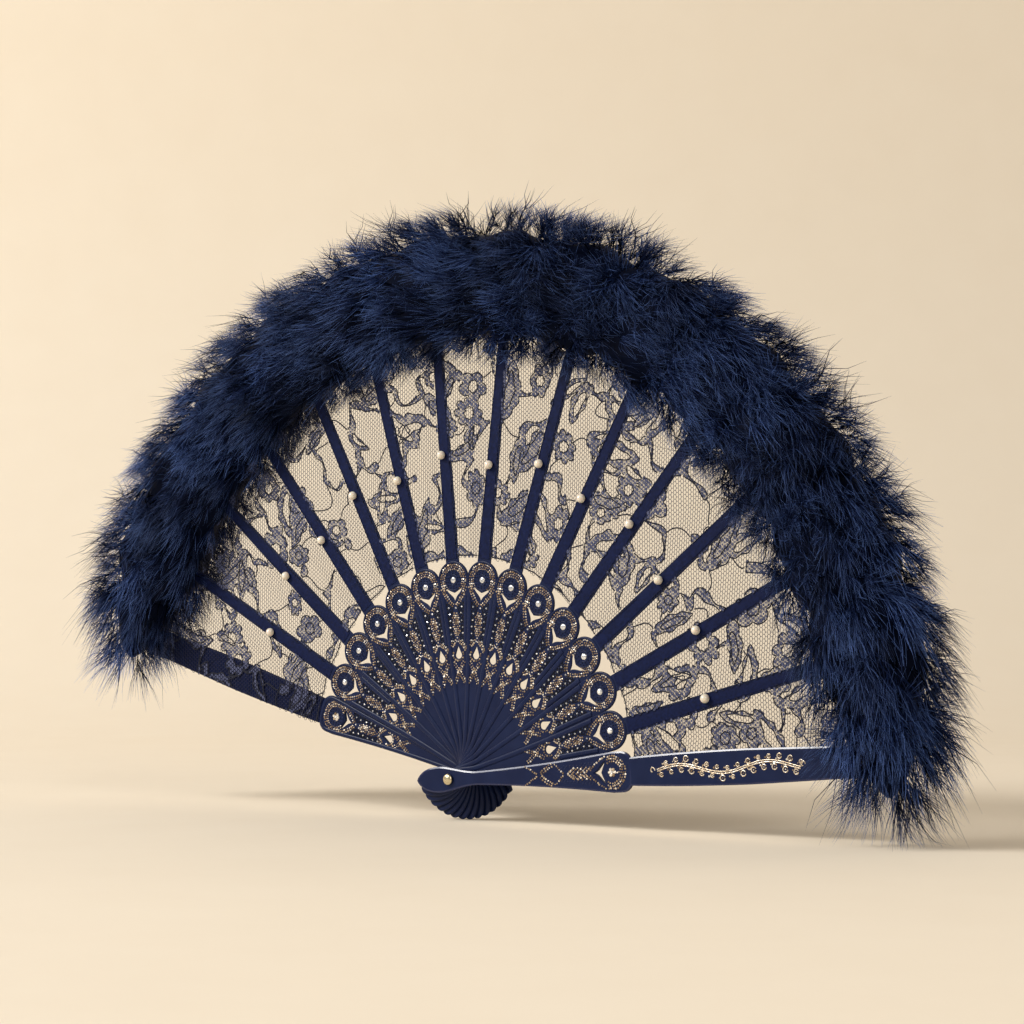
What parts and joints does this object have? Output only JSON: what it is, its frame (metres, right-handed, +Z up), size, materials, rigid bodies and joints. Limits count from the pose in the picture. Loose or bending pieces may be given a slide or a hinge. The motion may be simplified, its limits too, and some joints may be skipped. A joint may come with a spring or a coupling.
{
  "type": "folding feather fan",
  "caption": "Folding hand fan: pierced plastic sticks on a rivet, lace leaf with pearls and a fluffy feather rim that spread and fold together.",
  "frame": {"origin": "on the rivet's axis, in the middle of the front guard's layer, where a hand holds the closed tails of the sticks", "axes": "+X to the viewer's right along the spread of the open fan, +Y back along the rivet's axis, +Z up; the front faces -Y"},
  "size_m": [0.4637, 0.0696, 0.2524],
  "materials": {
    "navy_plastic": "satin gloss moulded plastic with glitter ornament",
    "navy_lace": "floral net lace",
    "navy_feather": "dyed marabou down",
    "cream_pearl": "pearl lustre",
    "pale_gold": "polished"
  },
  "bodies": {
    "front_guard": {"front_guard": "navy_plastic", "feather_00": "navy_feather", "rivet": "pale_gold", "rivet_washer": "pale_gold"},
    "stick_01": {"stick_01": "navy_plastic", "leaf_01": "navy_lace", "feather_01": "navy_feather", "pearl_01": "cream_pearl"},
    "stick_02": {"stick_02": "navy_plastic", "leaf_02": "navy_lace", "feather_02": "navy_feather", "pearl_02": "cream_pearl"},
    "stick_03": {"stick_03": "navy_plastic", "leaf_03": "navy_lace", "feather_03": "navy_feather", "pearl_03": "cream_pearl"},
    "stick_04": {"stick_04": "navy_plastic", "leaf_04": "navy_lace", "feather_04": "navy_feather", "pearl_04": "cream_pearl"},
    "stick_05": {"stick_05": "navy_plastic", "leaf_05": "navy_lace", "feather_05": "navy_feather", "pearl_05": "cream_pearl"},
    "stick_06": {"stick_06": "navy_plastic", "leaf_06": "navy_lace", "feather_06": "navy_feather", "pearl_06": "cream_pearl"},
    "stick_07": {"stick_07": "navy_plastic", "leaf_07": "navy_lace", "feather_07": "navy_feather", "pearl_07": "cream_pearl"},
    "stick_08": {"stick_08": "navy_plastic", "leaf_08": "navy_lace", "feather_08": "navy_feather", "pearl_08": "cream_pearl"},
    "stick_09": {"stick_09": "navy_plastic", "leaf_09": "navy_lace", "feather_09": "navy_feather", "pearl_09": "cream_pearl"},
    "stick_10": {"stick_10": "navy_plastic", "leaf_10": "navy_lace", "feather_10": "navy_feather", "pearl_10": "cream_pearl"},
    "stick_11": {"stick_11": "navy_plastic", "leaf_11": "navy_lace", "feather_11": "navy_feather", "pearl_11": "cream_pearl"},
    "stick_12": {"stick_12": "navy_plastic", "leaf_12": "navy_lace", "feather_12": "navy_feather", "pearl_12": "cream_pearl"},
    "stick_13": {"stick_13": "navy_plastic", "leaf_13": "navy_lace", "feather_13": "navy_feather", "pearl_13": "cream_pearl"},
    "rear_guard": {"rear_guard": "navy_plastic", "leaf_14": "navy_lace", "feather_14": "navy_feather"}
  },
  "joints": [
    {"name": "fold_01", "type": "hinge", "parent": "front_guard", "child": "stick_01", "pos_m": [0, 0, 0], "axis": [0, 1, 0], "range_deg": [0, 7.9], "deforming": ["leaf_01", "feather_00", "feather_01"]},
    {"name": "fold_02", "type": "hinge", "parent": "stick_01", "child": "stick_02", "pos_m": [0, 0, 0], "axis": [0, 1, 0], "range_deg": [0, 9.5], "deforming": ["leaf_02", "feather_02"]},
    {"name": "fold_03", "type": "hinge", "parent": "stick_02", "child": "stick_03", "pos_m": [0, 0, 0], "axis": [0, 1, 0], "range_deg": [0, 9.5], "deforming": ["leaf_03", "feather_03"]},
    {"name": "fold_04", "type": "hinge", "parent": "stick_03", "child": "stick_04", "pos_m": [0, 0, 0], "axis": [0, 1, 0], "range_deg": [0, 9.5], "deforming": ["leaf_04", "feather_04"]},
    {"name": "fold_05", "type": "hinge", "parent": "stick_04", "child": "stick_05", "pos_m": [0, 0, 0], "axis": [0, 1, 0], "range_deg": [0, 9.5], "deforming": ["leaf_05", "feather_05"]},
    {"name": "fold_06", "type": "hinge", "parent": "stick_05", "child": "stick_06", "pos_m": [0, 0, 0], "axis": [0, 1, 0], "range_deg": [0, 9.5], "deforming": ["leaf_06", "feather_06"]},
    {"name": "fold_07", "type": "hinge", "parent": "stick_06", "child": "stick_07", "pos_m": [0, 0, 0], "axis": [0, 1, 0], "range_deg": [0, 9.5], "deforming": ["leaf_07", "feather_07"]},
    {"name": "fold_08", "type": "hinge", "parent": "stick_07", "child": "stick_08", "pos_m": [0, 0, 0], "axis": [0, 1, 0], "range_deg": [0, 9.5], "deforming": ["leaf_08", "feather_08"]},
    {"name": "fold_09", "type": "hinge", "parent": "stick_08", "child": "stick_09", "pos_m": [0, 0, 0], "axis": [0, 1, 0], "range_deg": [0, 9.5], "deforming": ["leaf_09", "feather_09"]},
    {"name": "fold_10", "type": "hinge", "parent": "stick_09", "child": "stick_10", "pos_m": [0, 0, 0], "axis": [0, 1, 0], "range_deg": [0, 9.5], "deforming": ["leaf_10", "feather_10"]},
    {"name": "fold_11", "type": "hinge", "parent": "stick_10", "child": "stick_11", "pos_m": [0, 0, 0], "axis": [0, 1, 0], "range_deg": [0, 9.5], "deforming": ["leaf_11", "feather_11"]},
    {"name": "fold_12", "type": "hinge", "parent": "stick_11", "child": "stick_12", "pos_m": [0, 0, 0], "axis": [0, 1, 0], "range_deg": [0, 9.5], "deforming": ["leaf_12", "feather_12"]},
    {"name": "fold_13", "type": "hinge", "parent": "stick_12", "child": "stick_13", "pos_m": [0, 0, 0], "axis": [0, 1, 0], "range_deg": [0, 9.5], "deforming": ["leaf_13", "feather_13"]},
    {"name": "fold_14", "type": "hinge", "parent": "stick_13", "child": "rear_guard", "pos_m": [0, 0, 0], "axis": [0, 1, 0], "range_deg": [0, 9.5], "deforming": ["leaf_14", "feather_14"]}
  ],
  "couplings": [
    {"joint": "fold_02", "follows": "fold_01", "ratio": 1.2},
    {"joint": "fold_03", "follows": "fold_01", "ratio": 1.2},
    {"joint": "fold_04", "follows": "fold_01", "ratio": 1.2},
    {"joint": "fold_05", "follows": "fold_01", "ratio": 1.2},
    {"joint": "fold_06", "follows": "fold_01", "ratio": 1.2},
    {"joint": "fold_07", "follows": "fold_01", "ratio": 1.2},
    {"joint": "fold_08", "follows": "fold_01", "ratio": 1.2},
    {"joint": "fold_09", "follows": "fold_01", "ratio": 1.2},
    {"joint": "fold_10", "follows": "fold_01", "ratio": 1.2},
    {"joint": "fold_11", "follows": "fold_01", "ratio": 1.2},
    {"joint": "fold_12", "follows": "fold_01", "ratio": 1.2},
    {"joint": "fold_13", "follows": "fold_01", "ratio": 1.2},
    {"joint": "fold_14", "follows": "fold_01", "ratio": 1.2}
  ]
}
